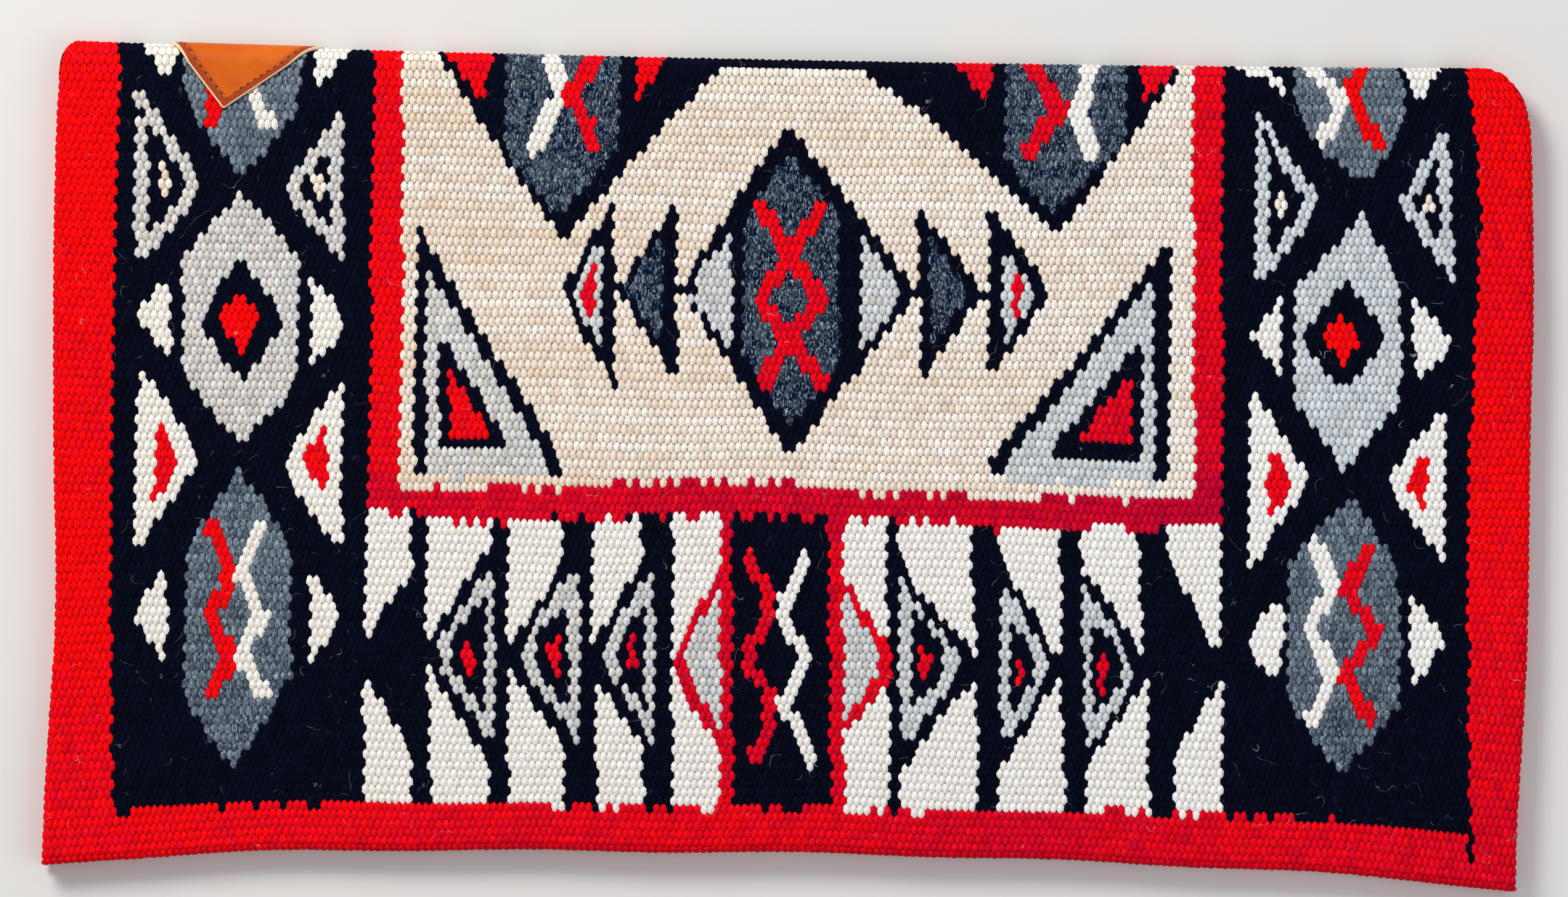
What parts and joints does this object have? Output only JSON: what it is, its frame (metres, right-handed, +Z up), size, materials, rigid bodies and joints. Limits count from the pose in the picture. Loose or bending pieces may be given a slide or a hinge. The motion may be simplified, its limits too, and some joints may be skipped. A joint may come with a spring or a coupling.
{
  "type": "saddle blanket",
  "caption": "Heavy tapestry-woven wool saddle blanket folded in half on a rounded spine, with a leather patch folded over it.",
  "frame": {"origin": "middle of the folded blanket's footprint, on the surface it lies on", "axes": "+X across the blanket to the right of the picture, +Y towards the spine fold, +Z up out of the upper half"},
  "size_m": [0.8634, 0.4851, 0.0183],
  "materials": {
    "red_wool": "heavy weft-faced wool, bright red",
    "black_wool": "heavy weft-faced wool, blue-black",
    "cream_wool": "heavy weft-faced wool, heathered cream",
    "charcoal_wool": "heavy weft-faced wool, heathered charcoal",
    "grey_wool": "heavy weft-faced wool, heathered light grey",
    "tan_leather": "smooth tan saddle leather with a pale cut edge"
  },
  "bodies": {
    "lower_half": {"lower_frame": "red_wool", "lower_end_border": "red_wool", "lower_center_ground": "black_wool", "lower_diamond_outline": "black_wool", "lower_diamond_core": "charcoal_wool", "lower_field": "cream_wool", "lower_left_border": "red_wool", "lower_left_ground": "black_wool", "lower_left_stripe": "red_wool", "lower_left_spine_lozenge": "charcoal_wool", "lower_left_high_lozenge": "grey_wool", "lower_left_eye": "black_wool", "lower_left_low_lozenge": "charcoal_wool", "lower_left_spine_triangle": "black_wool", "lower_left_corner_triangle": "grey_wool", "lower_right_border": "red_wool", "lower_right_ground": "black_wool", "lower_right_stripe": "red_wool", "lower_right_spine_lozenge": "charcoal_wool", "lower_right_high_lozenge": "grey_wool", "lower_right_eye": "black_wool", "lower_right_low_lozenge": "charcoal_wool", "lower_right_spine_triangle": "black_wool", "lower_right_corner_triangle": "grey_wool", "lower_patch": "tan_leather"},
    "roll_1": {"roll_strip_1": "cream_wool", "patch_strip_1": "tan_leather"},
    "roll_2": {"roll_strip_2": "cream_wool", "patch_strip_2": "tan_leather"},
    "roll_3": {"roll_strip_3": "cream_wool", "patch_strip_3": "tan_leather"},
    "roll_4": {"roll_strip_4": "cream_wool", "patch_strip_4": "tan_leather"},
    "roll_edge": {"roll_edge_strip": "cream_wool", "patch_edge_strip": "tan_leather"},
    "upper_half": {"upper_frame": "red_wool", "upper_end_border": "red_wool", "upper_center_ground": "black_wool", "upper_diamond_outline": "black_wool", "upper_diamond_core": "charcoal_wool", "upper_field": "cream_wool", "upper_left_border": "red_wool", "upper_left_ground": "black_wool", "upper_left_stripe": "red_wool", "upper_left_spine_lozenge": "charcoal_wool", "upper_left_high_lozenge": "grey_wool", "upper_left_eye": "black_wool", "upper_left_low_lozenge": "charcoal_wool", "upper_left_spine_triangle": "black_wool", "upper_left_corner_triangle": "grey_wool", "upper_right_border": "red_wool", "upper_right_ground": "black_wool", "upper_right_stripe": "red_wool", "upper_right_spine_lozenge": "charcoal_wool", "upper_right_high_lozenge": "grey_wool", "upper_right_eye": "black_wool", "upper_right_low_lozenge": "charcoal_wool", "upper_right_spine_triangle": "black_wool", "upper_right_corner_triangle": "grey_wool", "upper_patch": "tan_leather"}
  },
  "joints": [
    {"name": "spine_fold", "type": "hinge", "parent": "lower_half", "child": "upper_half", "pos_m": [0, 0.24748, 0.00915], "axis": [-1, 0, 0], "range_deg": [0, 180]},
    {"name": "roll_bend_1", "type": "hinge", "parent": "lower_half", "child": "roll_1", "pos_m": [0, 0.23347, 0], "axis": [-1, 0, 0], "range_deg": [0, 22.5]},
    {"name": "roll_bend_2", "type": "hinge", "parent": "roll_1", "child": "roll_2", "pos_m": [0, 0.23994, 0.00268], "axis": [-1, 0, 0], "range_deg": [0, 45]},
    {"name": "roll_bend_3", "type": "hinge", "parent": "roll_2", "child": "roll_3", "pos_m": [0, 0.24262, 0.00915], "axis": [-1, 0, 0], "range_deg": [0, 45]},
    {"name": "roll_bend_4", "type": "hinge", "parent": "roll_3", "child": "roll_4", "pos_m": [0, 0.23994, 0.01562], "axis": [-1, 0, 0], "range_deg": [0, 45]},
    {"name": "roll_bend_5", "type": "hinge", "parent": "roll_4", "child": "roll_edge", "pos_m": [0, 0.23347, 0.0183], "axis": [-1, 0, 0], "range_deg": [0, 22.5]}
  ],
  "couplings": [
    {"joint": "roll_bend_1", "follows": "spine_fold", "ratio": 0.125},
    {"joint": "roll_bend_2", "follows": "spine_fold", "ratio": 0.25},
    {"joint": "roll_bend_3", "follows": "spine_fold", "ratio": 0.25},
    {"joint": "roll_bend_4", "follows": "spine_fold", "ratio": 0.25},
    {"joint": "roll_bend_5", "follows": "spine_fold", "ratio": 0.125}
  ]
}
